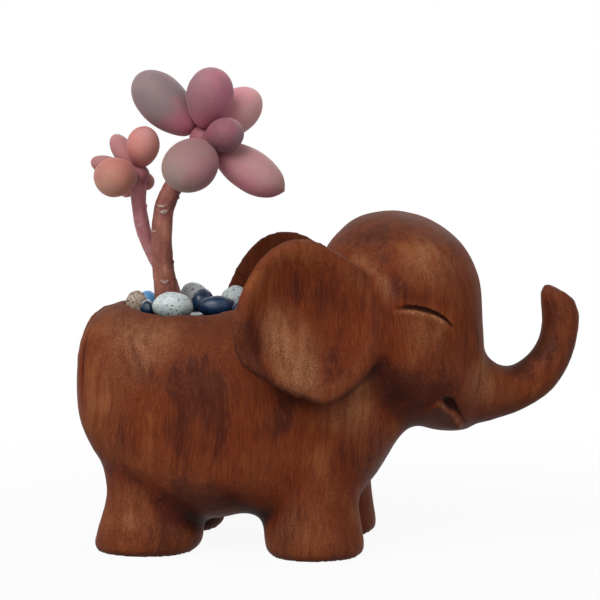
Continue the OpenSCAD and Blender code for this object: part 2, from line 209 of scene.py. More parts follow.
def move(bm, points):
    for vert, point in zip(bm.verts, points):
        vert.co = point
    bm.normal_update()


def in_fixed_order(bm):
    """Sorts edges and faces by their vertices, since a spin lists them differently each run."""
    bm.verts.index_update()
    count = len(bm.verts)

    def rank(part):
        number = 0
        for index in sorted(v.index for v in part.verts):
            number = number * count + index
        return number

    bm.edges.sort(key=rank)
    bm.faces.sort(key=rank)


class Net:
    """Which vertices neighbour which, for averages over the surface."""

    def __init__(self, bm):
        bm.verts.index_update()
        pairs = np.array([(e.verts[0].index, e.verts[1].index) for e in bm.edges])
        self.a, self.b = pairs[:, 0], pairs[:, 1]
        self.count = len(bm.verts)
        self.degree = np.maximum(np.bincount(pairs.ravel(), minlength=self.count), 1)

    def around(self, values):
        """The mean of each vertex's neighbours."""
        flat = values.reshape(self.count, -1)
        out = np.empty_like(flat)
        for k in range(flat.shape[1]):
            out[:, k] = (np.bincount(self.a, flat[self.b, k], self.count)
                         + np.bincount(self.b, flat[self.a, k], self.count)) / self.degree
        return out.reshape(values.shape)

    def spread(self, values, rounds):
        for _ in range(rounds):
            values = 0.5 * values + 0.5 * self.around(values)
        return values


def step(x, low, high):
    """0 below low, 1 above high, smooth between."""
    t = np.clip((x - low) / (high - low), 0, 1)
    return t * t * (3 - 2 * t)


def bell(x, width):
    """1 at 0, falling smoothly towards 0 on either side."""
    return np.exp(-(x / width) ** 2)


def swell(x, start, full, reach):
    """A rise between start and full that dies away over reach."""
    return step(x, start, full) * np.exp(-np.clip(x - full, 0, 1) / reach)


def wobble(points, size, height, seed=0):
    """Smooth noise of that cell size and height over points."""
    shift = Vector((seed * 7.3, seed * 3.1, seed * 5.7))
    return np.array([noise.noise(Vector(p) / size + shift) for p in points]) * height


def smooth_line(points, count):
    """Points on a smooth curve through the given ones."""
    p = np.array(points, float)
    p = np.vstack([2 * p[0] - p[1], p, 2 * p[-1] - p[-2]])
    out = []
    for u in np.linspace(0, len(points) - 1, count):
        i = min(int(u), len(points) - 2)
        f = u - i
        a, b, c, d = p[i:i + 4]
        out.append(b + f * (c - a) / 2 + f * f * (a - 2.5 * b + 2 * c - d / 2)
                   + f ** 3 * (1.5 * (b - c) + (d - a) / 2))
    return np.array(out)


def beside(points, line, tree, down):
    """For points near a line on the surface: place along it (0 to 1), distance to its side
    (positive towards down) and distance beyond its ends, in metres."""
    spots = np.array([tree.find_nearest(Vector(p))[0] for p in line])
    faces = np.array([tree.find_nearest(Vector(p))[1] for p in line])
    along = np.gradient(spots, axis=0)
    along /= np.linalg.norm(along, axis=1)[:, None]
    across = np.cross(faces, along)
    across *= np.sign(across @ np.array(down))[:, None]
    gaps = np.linalg.norm(points[:, None] - spots[None], axis=2)
    near = gaps.argmin(axis=1)
    offset = points - spots[near]
    side = np.einsum("ij,ij->i", offset, across[near])
    run = np.einsum("ij,ij->i", offset, along[near])
    beyond = np.where((near == 0) | (near == len(spots) - 1), np.abs(run), 0)
    return near / (len(spots) - 1), side, beyond, gaps.min(axis=1)


def refine(bm, line, reach, cuts):
    """Splits the faces near a line, so that a fine crease can be cut there."""
    line = np.array(line)
    for _ in range(cuts):
        points = places(bm)
        gaps = np.min(np.linalg.norm(points[:, None] - line[None, ::3], axis=2), axis=1)
        bm.verts.index_update()
        edges = [e for e in bm.edges
                 if gaps[e.verts[0].index] < reach and gaps[e.verts[1].index] < reach]
        bmesh.ops.subdivide_edges(bm, edges=edges, cuts=1, use_grid_fill=True)


def finish_piece(name, bm, material, body, nodes, values=None):
    """Makes the object, gives it its finish and its body, and lets it stand for its CAD nodes."""
    for face in bm.faces:
        face.smooth = True
    piece = new_object(name, bm, material)
    for key, numbers in (values or {}).items():
        piece.data.attributes.new(key, "FLOAT", "POINT").data.foreach_set(
            "value", np.asarray(numbers, np.float32))
    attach(piece, body)
    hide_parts(*nodes)
    return piece



# The cast elephant

# The head turns on the neck; these carry points of the straight head to the model.
NECK = Vector((15.02, 0, 0)) * MM
FIGURE_MIDDLE = Vector((-0.19, -7.22, 0)) * MM
# The body's middle plane, in which the well lies too (mm)
WELL_Y = 7.26
HEAD_TURN = math.radians(12)
HEAD = (Matrix.Translation(NECK - FIGURE_MIDDLE) @ Matrix.Rotation(HEAD_TURN, 4, "Z")
        @ Matrix.Translation(-NECK))

# Closed eye, from its outer corner to its inner one, on the right side of the head (mm)
EYE = [(23.2, -30.9, 86.7), (25.9, -31.0, 86.9), (28.7, -30.8, 86.7), (31.8, -30.6, 86.0),
       (34.6, -29.9, 85.1), (37.1, -29.2, 83.9), (39.4, -28.2, 82.4), (41.2, -27.4, 80.7),
       (43.0, -26.3, 78.7)]
# Mouth, from its corner in the cheek round to the front of the chin (mm)
MOUTH = [(38.7, -24.7, 55.4), (40.6, -23.2, 53.6), (42.6, -21.6, 51.8), (44.8, -19.2, 49.8),
         (46.6, -16.6, 47.6), (48.1, -13.5, 45.4)]
# Edge of the tail that lies pressed against the right side of the rump (mm, in the model)
TAIL = [(-79.4, -12.5, 79.8), (-80.3, -17.4, 75.3), (-80.9, -20.3, 69.9), (-80.8, -22.2, 64.5),
        (-80.6, -23.1, 59.0), (-80.1, -23.9, 54.2)]
# Soft swellings and hollows of the right side of the head, the same on the left: place, reach
# and height (mm)
HEAD_SWELLS = [
    (-13.0, -40.3, 70.0, 9.0, 1.4),
    (-5.0, -35.5, 92.0, 12.0, -0.7),
    (33.0, -29.0, 74.0, 10.0, 0.9),
    (22.5, -24.5, 56.0, 8.0, -0.9),
    (46.0, -14.0, 42.5, 4.0, 0.9),
    (7.5, -19.5, 104.8, 3.0, 0.6), (10.6, -23.3, 102.6, 3.0, 0.7), (14.3, -26.9, 99.4, 3.0, 0.7),
    (17.5, -29.3, 95.1, 3.0, 0.6), (19.8, -30.5, 90.4, 3.0, 0.4),
    (14.5, -20.8, 106.5, 3.6, -0.5), (18.8, -25.0, 102.5, 3.6, -0.6), (22.2, -27.8, 97.5, 3.6, -0.5),
]
# Where the colour turns lighter (above 0) or darker (below 0): place, reach (mm), strength. Above 0 is
# partly stain thinned by the dry rub and partly painted highlight, as on the forehead, the ears' lower
# faces, the trunk's root and the rump. Below 0 is partly heavy stain and partly painted shade, as in the
# trunk's curl, under the jaw, behind the ears and under the belly.
# The head's are on its right side; the body's second number is the distance from its middle.
HEAD_TONES = [
    (-16.3, -40.1, 75.1, 8.0, 0.70), (-12.9, -40.5, 68.4, 8.0, 0.75), (-8.5, -40.9, 62.5, 6.0, 0.60),
    (33.5, -25.8, 104.0, 9.0, 0.55), (33.0, -30.0, 79.5, 7.0, 0.40), (54.0, -14.6, 61.5, 8.0, 0.90),
    (10.6, -23.3, 102.6, 3.0, 0.80), (14.3, -26.9, 99.4, 3.0, 0.80), (17.5, -29.3, 95.1, 3.0, 0.80),
    (19.8, -30.5, 90.4, 3.0, 0.50), (4.8, -30.7, 50.1, 8.0, 0.50), (10.8, -28.9, 53.2, 6.0, 0.30),
    (10.1, -29.1, 58.4, 4.0, 0.45), (13.7, -27.7, 62.4, 4.0, 0.40), (-18.0, -39.8, 82.0, 8.0, 0.50),
    (-9.3, -36.0, 94.9, 9.0, -0.30), (9.6, -32.8, 92.9, 7.0, -0.15), (-25.6, -46.2, 65.8, 4.0, -0.80),
    (-19.2, -32.7, 59.8, 3.5, -0.50), (-13.1, -32.8, 56.0, 3.5, -0.50), (-32.9, -47.8, 78.0, 6.0, -1.50),
    (22.2, -28.6, 63.4, 6.0, -0.40), (25.9, -26.7, 58.0, 7.0, -0.55), (31.4, -24.6, 54.2, 6.0, -0.45),
    (16.5, -18.5, 111.5, 8.0, -0.70), (28.7, -30.8, 91.0, 5.0, -0.25), (49.2, -21.1, 72.9, 9.0, -0.30),
    (79.4, -4.1, 73.2, 6.0, -1.80), (75.4, -4.7, 66.5, 5.5, -1.50), (69.3, -5.4, 62.0, 4.5, -0.80),
    (80.4, -3.8, 80.5, 5.5, -1.50), (71.1, -8.5, 57.2, 10.0, -0.35), (15.8, -26.0, 100.0, 7.0, -0.30),
]
BODY_TONES = [
    (-55.6, 35.1, 76.0, 11.0, 0.70), (-65.8, 31.3, 78.8, 8.0, 0.30), (-71.3, 36.9, 55.0, 10.0, 0.25),
    (-63.5, 36.2, 15.4, 8.0, 0.50), (-3.2, 37.4, 14.4, 9.0, 0.20), (-31.8, 41.5, 62.4, 13.0, -0.75),
    (-40.3, 42.5, 41.9, 13.0, -0.65), (-14.8, 40.3, 49.0, 10.0, -0.40), (-24.1, 36.7, 19.0, 8.0, -1.00),
    (-31.0, 38.0, 20.8, 8.0, -1.00), (-41.0, 40.0, 24.3, 8.0, -0.70), (6.8, 34.6, 36.6, 9.0, -0.30),
    (-30.0, 41.0, 36.0, 13.0, -0.55), (-40.0, 22.0, 84.0, 8.0, -0.40), (-56.0, 24.0, 84.0, 8.0, -0.30),
]
# Rounds of smoothing of the rebuilt surface, of filling its creases and of the last smoothing
CAST_ROUNDS, FILLET_ROUNDS, LAST_ROUNDS = 16, 64, 8
# The sky a spot misses is painted into its colour as shade.
# How far round a spot the sky is looked for, and in how many directions
SKY_REACH = 26 * MM
SKY_RAYS = 20
# What lies lower than this is sole.
SOLE = 0.3 * MM


def on_head(points, side):
    """Points of the straight head, in mm, in the model; side 1 is the right one, -1 the left one."""
    return [HEAD @ (Vector((x, y * side, z)) * MM) for x, y, z in points]


def spots(points, table, mirrored):
    """The sum of round soft spots, each on both sides of the figure."""
    total = np.zeros(len(points))
    for x, y, z, reach, height in table:
        for centre in mirrored(x, y, z):
            gap = np.linalg.norm(points - np.array(centre), axis=1)
            total += height * bell(gap, reach * MM)
    return total


def head_twins(x, y, z):
    """A place of the head and its mirror image."""
    return [on_head([(x, y, z)], side)[0] for side in (1, -1)]


def body_twins(x, aside, z):
    """A place of the body, to the right and to the left of its middle."""
    return [Vector((x, WELL_Y + side * aside, z)) * MM for side in (-1, 1)]


def crease_weights(points):
    """How far each sharp inner corner is filled: fully where the ears melt into the head, and
    hardly behind and under the ears, along the tail and under the belly."""
    back = HEAD.inverted()
    local = np.array([back @ Vector(p) for p in points]) / MM
    here = points / MM
    weight = np.ones(len(points))
    ear = (np.abs(local[:, 1]) > 22) & (local[:, 2] > 50)
    weight[ear] = 0.08 + 0.92 * step(local[ear, 0] + 0.35 * (local[ear, 2] - 60), -6, 8)
    weight *= 1 - 0.88 * step(-here[:, 0], 76, 80)
    belly = step(-here[:, 2], -26, -20)
    weight *= 1 - 0.70 * belly * step(here[:, 0], -50, -42) * step(-here[:, 0], -4, 4)
    return weight


def fill_creases(bm, rounds, weights):
    """Raises only the hollows, which rounds a sharp inner corner into a fillet."""
    net = Net(bm)
    points = places(bm)
    for turn in range(rounds):
        if turn % 6 == 0:
            move(bm, points)
            out = normals(bm)
        pull = net.around(points) - points
        lift = np.einsum("ij,ij->i", pull, out)
        points = points + pull * (np.clip(lift / (0.02 * MM), 0, 1) * weights * 0.5)[:, None]
    move(bm, points)


def carve_eye(points, out, tree, line, size):
    """The lid's dark crease, the ragged ridge right under it and the cheek that swells below; gives the
    points, how deep in the crease each is and how strongly the ridge gets a painted highlight."""
    u, side, beyond, far = beside(points, line, tree, (0, 0, -1))
    fade = np.sin(np.pi * np.clip(u, 0.03, 0.97)) ** 0.5 * bell(beyond, 1.5 * MM) * (far < 22 * MM)
    ragged = wobble(points, 1.1 * MM, 1.0, 7)
    groove = bell(side - 0.2 * MM * ragged, 0.62 * MM * (1 - 0.4 * step(u, 0.4, 0.9)))
    brow = bell(side + 3.0 * MM, 2.6 * MM)
    ridge = bell(side - 1.45 * MM - 0.35 * MM * ragged, 0.8 * MM) * (1 - step(u, 0.6, 0.9))
    cheek = swell(side, 0.6 * MM, 3.0 * MM, 6.0 * MM)
    lift = (-1.0 * groove - 0.35 * brow + 0.65 * ridge * (1 + ragged) + 0.9 * cheek) * fade
    # Painted highlight: the ragged ridge is lightened as if it caught the light from above.
    lid_and_lip_highlight = ridge * fade * (1 + 1.4 * ragged)
    return points + out * (lift * size)[:, None], 0.65 * groove * fade, lid_and_lip_highlight


def carve_mouth(points, out, tree, line, size):
    """The mouth, widest behind its corner, and the full lower lip under it; gives the points, how deep in
    the mouth each is and how strongly the lip's edge gets a painted highlight."""
    u, side, beyond, far = beside(points, line, tree, (-0.4, 0, -1))
    fade = step(u, 0.0, 0.12) * bell(beyond, 1.6 * MM) * (far < 10 * MM)
    gape = 0.40 + 1.20 * bell(u - 0.32, 0.24)
    groove = bell(side + 0.35 * MM * gape, 0.95 * MM * gape)
    lip = swell(side, 0.2 * MM, 2.6 * MM, 3.0 * MM)
    # Painted highlight along the lower lip's edge
    edge = bell(side - 1.9 * MM, 0.9 * MM)
    lift = (-1.1 * gape * groove + 1.3 * lip) * fade
    return points + out * (lift * size)[:, None], 0.55 * gape * groove * fade, 0.4 * edge * fade


def carve_tail(points, out, tree, line, size):
    """The groove beside the tail and the tail's own rounded edge; gives the points, how deep in the groove
    each is and no painted highlight."""
    u, side, beyond, far = beside(points, line, tree, (0, -1, 0))
    fade = np.sin(np.pi * np.clip(u, 0.02, 0.98)) ** 0.6 * bell(beyond, 2.0 * MM) * (far < 12 * MM)
    groove = bell(side, 0.65 * MM)
    band = bell(side + 2.6 * MM, 2.2 * MM)
    lift = (-0.5 * groove + 0.5 * band) * fade
    return points + out * (lift * size)[:, None], 0.5 * groove * fade, np.zeros(len(points))


def shelter(bm, rays, reach):
    """How much of the sky each vertex misses: 0 in the open, 1 deep in a recess."""
    tree = BVHTree.FromBMesh(bm)
    golden = math.pi * (3 - math.sqrt(5))
    fan = [Vector((math.sqrt(1 - z * z) * math.cos(i * golden),
                   math.sqrt(1 - z * z) * math.sin(i * golden), z))
           for i, z in enumerate(np.linspace(0.95, 0.12, rays))]
    hidden = np.zeros(len(bm.verts))
    for i, vert in enumerate(bm.verts):
        turn = vert.normal.to_track_quat("Z", "Y")
        start = vert.co + vert.normal * (0.3 * MM)
        for ray in fan:
            gap = tree.ray_cast(start, turn @ ray, reach)[3]
            if gap is not None:
                hidden[i] += 1 - gap / reach
    return hidden / rays


def stained_earthenware(props):
    """Red earthenware, cast, fired, brushed up and down with two coats of brown wood stain and sealed matt.
    The eye sees fine upright brush lines over soft dark and orange patches, stain that has pooled in the
    hollows, and a dry, pitted tan where the stain is thin. Light is painted into the colour as well: painted
    shade in the recesses, in the creases, on the undersides and in the dark spots, a painted sky sheen on
    faces that look up, and painted highlights in the tan."""
    material, tree = new_material("stained_earthenware")
    place = add(tree, COORDS, out="Object")
    upright = add(tree, "ShaderNodeSeparateXYZ", {"Vector": add(tree, COORDS, out="Normal")}, "Z")
    # The attributes carry stain pooled in recesses with painted shade, the tan of thin stain with painted
    # highlights, and heavy stain with painted shade.
    recess, rubbed, thick = [add(tree, ATTRIBUTE, out="Fac", attribute_name=name)
                             for name in ("recess", "rubbed", "thick")]

    # The hand wanders: brush lines swing by a few millimetres over four centimetres.
    drift = add(tree, NOISE, {"Vector": place, "Scale": 1 / (38 * MM), "Detail": 1.0}, "Color")
    centred = add(tree, VECTOR_MATH, {0: drift, 1: (0.5, 0.5, 0.5)}, operation="SUBTRACT")
    swing = add(tree, VECTOR_MATH, {0: centred, 1: (14 * MM, 14 * MM, 0)}, operation="MULTIPLY")
    brushed = add(tree, VECTOR_MATH, {0: place, 1: swing}, operation="ADD")

    # Real bristle lines are 0.3 mm apart; they are drawn at 0.5 mm, so that they show. The rub's
    # pits and grains are 0.2 mm on the real one, and drawn at 0.45 mm.
    patches, streaks, lines, pits = [
        add(tree, NOISE, {"Vector": add(tree, MAPPING, {"Vector": source, "Scale": per_cell(*cells)}),
                          "Scale": 1.0, "Detail": detail, "Roughness": rough})
        for source, cells, detail, rough in (
            (brushed, (17, 17, 24), 3.0, 0.5), (brushed, (2.8, 2.8, 24), 3.0, 0.6),
            (brushed, (0.5, 0.5, 7), 2.0, 0.6), (place, (0.45, 0.45, 0.6), 1.0, 0.6))]

    mottle = 0.0
    # Dark spots, partly heavy stain and partly painted shade, darken the patches. Light spots, partly thin
    # stain and partly painted highlight, lighten them.
    for layer, share in ((patches, 0.74), (streaks, 0.26), (thick, -0.14), (rubbed, 0.10)):
        mottle = add(tree, MATH, {0: layer, 1: share, 2: mottle}, operation="MULTIPLY_ADD")
    coat = add(tree, RAMP, {"Fac": mottle}, stops=[
        (0.37, props.stain_dark), (0.48, props.stain_base), (0.55, props.stain_base),
        (0.67, props.stain_warm)])
    dark_line, pale_line, grains, brush_marks, top, under, pooled = [
        add(tree, RANGE, {"Value": value, "From Min": low, "From Max": high, "To Min": a, "To Max": b})
        for value, low, high, a, b in (
            (lines, 0.46, 0.32, 0.0, 0.40), (lines, 0.55, 0.72, 0.0, 0.32),
            (pits, 0.38, 0.58, 0.30, 1.0), (streaks, 0.38, 0.56, 0.45, 1.0),
            # Painted light: top gives faces that look up a greyish sky sheen, and under gives faces that
            # look down near black shade.
            (upright, 0.50, 0.95, 0.0, 0.45), (upright, -0.20, -0.85, 0.0, 0.70),
            # From the recess attribute: stain pooled in hollows together with painted shade
            (recess, 0.06, 0.80, 0.0, 0.94))]
    # The tan of thin stain on high spots, which also paints the highlights, broken by the rub's pits and the
    # brush marks.
    dry = add(tree, MATH, {0: rubbed, 1: grains}, operation="MULTIPLY")
    dry = add(tree, MATH, {0: dry, 1: brush_marks}, operation="MULTIPLY", use_clamp=True)
    for share, colour in (
            (dark_line, "#2a0d07"), (pale_line, "#8a4c24"), (dry, props.rub_and_highlight_tan),
            # Painted sky sheen on tops, painted shade on undersides, then stain pooled in recesses together
            # with painted shade.
            (top, "#4a2f25"), (under, "#2f1009"), (pooled, props.pooled_stain_and_shade)):
        coat = add(tree, MIX, {SHARE: share, UNDER: coat, OVER: colour}, MIXED, data_type="RGBA")

    gloss = add(tree, RANGE, {"Value": patches, "From Min": 0.35, "From Max": 0.65,
                              "To Min": 0.52, "To Max": 0.64})
    relief = add(tree, MATH, {0: pits, 1: 0.35, 2: lines}, operation="MULTIPLY_ADD")
    relief = add(tree, MATH, {0: streaks, 1: 0.6, 2: relief}, operation="MULTIPLY_ADD")
    bump = add(tree, BUMP, {"Height": relief, "Strength": 0.45, "Distance": 0.22 * MM})
    shader = add(tree, "ShaderNodeBsdfPrincipled", {
        "Base Color": coat, "Roughness": gloss, "Normal": bump, "IOR": 1.5, "Specular IOR Level": 0.06})
    add(tree, "ShaderNodeOutputMaterial", {"Surface": shader}, None)
    return material


class FigureProps(bpy.types.PropertyGroup):
    cell: length_setting("Cell", "Size of the cells that the cast surface is rebuilt from", 1.25, 3, 0.8)
    eye_depth: length_setting("Eye relief", "Depth of the lid's crease and height of the cheek", 1.0, 2)
    mouth_depth: length_setting("Mouth relief", "Depth of the mouth and height of the lower lip", 1.1, 2)
    tail_depth: length_setting("Tail relief", "Depth of the groove beside the tail", 1.0, 2)
    unevenness: length_setting("Unevenness", "Height of the soft waves of hand finishing", 0.35, 1)
    stain_base: colour_setting("Stain", "Main colour of the wood stain", "#622913")
    stain_dark: colour_setting("Dark stain", "Colour of the darker patches", "#451b10")
    stain_warm: colour_setting("Warm stain", "Colour of the orange patches", "#793f1f")
    # Also the colour of the painted shade in recesses, in the creases, behind the ears and under the jaw and
    # belly.
    pooled_stain_and_shade: colour_setting("Pooled stain and shade", "Colour in the recesses", "#200a05")
    # Also the colour of the painted highlights on the forehead, ears, trunk, rump, eye ridges and lip edges.
    rub_and_highlight_tan: colour_setting("Rub and highlight", "Colour of the dry rub on high spots", "#8f6145")


class PLANTER_OT_figure(bpy.types.Operator):
    """Casts the elephant: rounds its forms, cuts the eyes and the mouth and stains it, with painted shade
    and highlights in the stain's colours
    """
    bl_idname = "planter.figure"
    bl_label = "Elephant"

    def execute(self, context):
        props = context.scene.planter_figure
        bm = recast("elephant_pot", props.cell)
        soften(bm, CAST_ROUNDS)
        fill_creases(bm, FILLET_ROUNDS, crease_weights(places(bm)))
        soften(bm, LAST_ROUNDS)
        self.round_ends(bm)
        self.lift_belly(bm)

        points = places(bm)
        swells = wobble(points, 26 * MM, props.unevenness, 1)
        swells += wobble(points, 9 * MM, props.unevenness * 0.4, 2)
        swells += spots(points, HEAD_SWELLS, head_twins) * MM
        move(bm, points + normals(bm) * swells[:, None])

        carvings = []
        for side in (1, -1):
            eye = smooth_line(on_head(EYE, side), 60)
            mouth = smooth_line(on_head(MOUTH, side), 60)
            refine(bm, eye, 7 * MM, 1)
            refine(bm, eye, 4 * MM, 1)
            refine(bm, mouth, 6 * MM, 2)
            carvings += [(carve_eye, eye, props.eye_depth), (carve_mouth, mouth, props.mouth_depth)]
        tail = smooth_line([Vector(p) * MM for p in TAIL], 60)
        refine(bm, tail, 5 * MM, 1)
        carvings.append((carve_tail, tail, props.tail_depth))
        # The crease depths, and the painted highlights along the eye ridges and the lip edges
        cuts, lid_and_lip_highlight = np.zeros((2, len(bm.verts)))
        for carve, line, size in carvings:
            tree = BVHTree.FromBMesh(bm)
            # rub is the carving's painted highlight
            points, depth, rub = carve(places(bm), normals(bm), tree, line, size)
            move(bm, points)
            cuts = np.maximum(cuts, depth)
            lid_and_lip_highlight = np.maximum(lid_and_lip_highlight, rub)
        soften(bm, 1)
        points = places(bm)
        lips = np.zeros(len(points), bool)
        for side in (1, -1):
            for spot in smooth_line(on_head(MOUTH, side), 12):
                lips |= np.linalg.norm(points - spot, axis=1) < 4 * MM
        soften(bm, 3, 0, [v for v, near in zip(bm.verts, lips) if near])

        # The soles stand flat on the floor.
        points = places(bm)
        points[:, 2] = np.where(points[:, 2] < SOLE, 0.0, points[:, 2])
        move(bm, points)
        self.stain(bm, points, cuts, lid_and_lip_highlight, props)
        return {"FINISHED"}

    def stain(self, bm, points, cuts, lid_and_lip_highlight, props):
        """Tells where stain pools and shade is painted, where heavy stain lies and darker shade is painted,
        and where the stain is thin and highlights are painted, and ends the piece.
        """
        net = Net(bm)
        out = normals(bm)
        hollow = np.einsum("ij,ij->i", net.spread(points, 10) - points, out)
        wide = np.einsum("ij,ij->i", net.spread(points, 60) - points, out)
        hidden = net.spread(shelter(bm, SKY_RAYS, SKY_REACH), 4)
        edge = 1 + wobble(points, 6 * MM, 0.5, 8)
        tones = (spots(points, HEAD_TONES, head_twins) + spots(points, BODY_TONES, body_twins)) * edge
        # Light spots: partly stain thinned by the dry rub, partly painted highlight.
        thin_stain_and_highlight = np.clip(tones, 0, 1)
        # Recess: stain pooled in fine hollows and broad dips, with painted shade where the surface misses
        # the sky.
        recess = (hidden * 2.0 - 0.16 + net.spread(hollow, 2) / (0.22 * MM) * 0.5
                  + np.clip(net.spread(wide, 2), 0, 1) / (0.8 * MM) * 0.3)
        # Painted highlights take the shade back. The darkest spots and the carved creases add painted shade
        # to the pooled stain.
        recess = (recess * (1 - 0.75 * thin_stain_and_highlight) + 0.65 * np.clip(-tones - 0.60, 0, 1)
                  + net.spread(cuts, 1))
        proud = np.clip(-net.spread(wide, 4) / (0.45 * MM) - hidden * 2, 0, 1)
        # The tan: thin stain on proud places, painted highlights at the light spots, and painted highlights
        # along the eye ridges and lip edges.
        rubbed = thin_stain_and_highlight + 0.16 * proud + np.clip(lid_and_lip_highlight, 0, 1)
        # The dark spots go along as well, partly heavy stain and partly painted shade.
        finish_piece("elephant_figure", bm, stained_earthenware(props), POT,
                     ["elephant_pot"],
                     {"recess": np.clip(recess, 0, 1), "rubbed": rubbed, "thick": np.clip(-tones, 0, 1)})

    def round_ends(self, bm):
        """Rounds the lip of the well, the tip of the trunk and the front of the ears' lobes."""
        low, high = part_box("soil")
        middle = (low + high) / 2
        lip_r = (high.x - low.x) / 2 + 0.6 * MM
        points = places(bm)
        around = np.hypot(points[:, 0] - middle.x, points[:, 1] - middle.y)
        lip = (np.abs(around - lip_r) < 4.5 * MM) & (points[:, 2] > high.z + 2 * MM)
        local = np.array([HEAD.inverted() @ Vector(p) for p in points])
        tip = (local[:, 0] > 74 * MM) & (local[:, 2] > 90 * MM)
        lobe = ((np.abs(local[:, 1]) > 22 * MM) & (local[:, 0] > -12 * MM) & (local[:, 0] < 22 * MM)
                & (local[:, 2] > 50 * MM)
                & (local[:, 2] < np.interp(local[:, 0], [-12 * MM, 6 * MM], [60 * MM, 82 * MM])))
        bm.verts.ensure_lookup_table()
        for near, rounds in ((lip, 12), (tip, 14), (lobe, 16)):
            soften(bm, rounds, 0, [bm.verts[i] for i in np.flatnonzero(near)])

    def lift_belly(self, bm):
        """Arches the belly's underside between the hind and the front feet."""
        points = places(bm)
        x, z = points[:, 0], points[:, 2]
        points[:, 2] += (3.2 * MM * bell(x + 25 * MM, 8.5 * MM)
                         * step(z, 1.5 * MM, 7 * MM) * (1 - step(z, 12 * MM, 34 * MM)))
        move(bm, points)


# Soil

# Size of the cells that the plug is rebuilt from
SOIL_CELL = 0.9 * MM


def potting_soil(props):
    """Peat and coarse grit, damp: near black, crumbly, with pale grains here and there."""
    material, tree = new_material("potting_soil")
    place = add(tree, COORDS, out="Object")
    crumbs, grit = [
        add(tree, NOISE, {"Vector": add(tree, MAPPING, {"Vector": place, "Scale": per_cell(*[cell] * 3)}),
                          "Scale": 1.0, "Detail": detail, "Roughness": rough})
        for cell, detail, rough in ((1.4, 4.0, 0.65), (0.7, 2.0, 0.5))]
    colour = add(tree, RAMP, {"Fac": crumbs}, stops=[
        (0.35, "#080605"), (0.55, props.soil_colour), (0.75, "#2a2019")])
    pale = add(tree, RANGE, {"Value": grit, "From Min": 0.70, "From Max": 0.76, "To Max": 0.45})
    colour = add(tree, MIX, {SHARE: pale, UNDER: colour, OVER: "#6c5d4c"}, MIXED, data_type="RGBA")
    bump = add(tree, BUMP, {"Height": crumbs, "Strength": 0.9, "Distance": 0.8 * MM})
    shader = add(tree, "ShaderNodeBsdfPrincipled", {
        "Base Color": colour, "Normal": bump, "Roughness": 0.88, "Specular IOR Level": 0.2})
    add(tree, "ShaderNodeOutputMaterial", {"Surface": shader}, None)
    return material


class SoilProps(bpy.types.PropertyGroup):
    soil_colour: colour_setting("Soil", "Colour of the damp soil", "#120e0c")
    crumb_height: length_setting("Crumbs", "Height of the crumbs on top", 1.3, 3)
    crumbs: bpy.props.IntProperty(
        name="Loose crumbs", description="How many loose crumbs lie on top", default=260, min=0, max=900)


class PLANTER_OT_soil(bpy.types.Operator):
    """Fills the well with crumbly soil"""
    bl_idname = "planter.soil"
    bl_label = "Soil"

    def execute(self, context):
        props = context.scene.planter_soil
        low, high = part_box("soil")
        bm = recast("soil", SOIL_CELL)
        soften(bm, 3)
        points = places(bm)
        top = step(points[:, 2], high.z - 1.5 * MM, high.z - 0.5 * MM)
        rough = wobble(points, 3.2 * MM, 1.0, 3) + wobble(points, 1.7 * MM, 0.6, 4)
        points[:, 2] += top * (rough * props.crumb_height * 0.5 - 0.3 * MM)
        middle = (low + high) / 2
        outward = points - np.array(middle)
        outward[:, 2] = 0
        outward /= np.maximum(np.linalg.norm(outward, axis=1), 1e-6)[:, None]
        points -= outward * ((1 - top) * np.clip(rough, 0, 1) * 0.5 * MM)[:, None]
        move(bm, points)

        random.seed(11)
        reach = (high.x - low.x) / 2 - 1.5 * MM
        for _ in range(props.crumbs):
            far = reach * math.sqrt(random.random())
            angle = random.uniform(0, math.tau)
            size = random.uniform(0.45, 1.15) * MM
            spot = Vector((middle.x + far * math.cos(angle), middle.y + far * math.sin(angle),
                           high.z + size * 0.3))
            shape = Matrix.Diagonal((random.uniform(0.7, 1.2), random.uniform(0.7, 1.2), 0.7, 1))
            bmesh.ops.create_icosphere(bm, subdivisions=1, radius=size,
                                       matrix=Matrix.Translation(spot)
                                       @ Matrix.Rotation(angle * 5, 4, "Z") @ shape)
        finish_piece("soil_plug", bm, potting_soil(props), PLANTING, ["soil"])
        return {"FINISHED"}


# Stems

# Middles of the two crowns
MAIN_HUB = Vector((-43.56, 7.26, 144.2)) * MM
SIDE_HUB = Vector((-67.35, 8.64, 131.5)) * MM
# Size of the cells that the stems are rebuilt from
STEM_CELL = 0.5 * MM


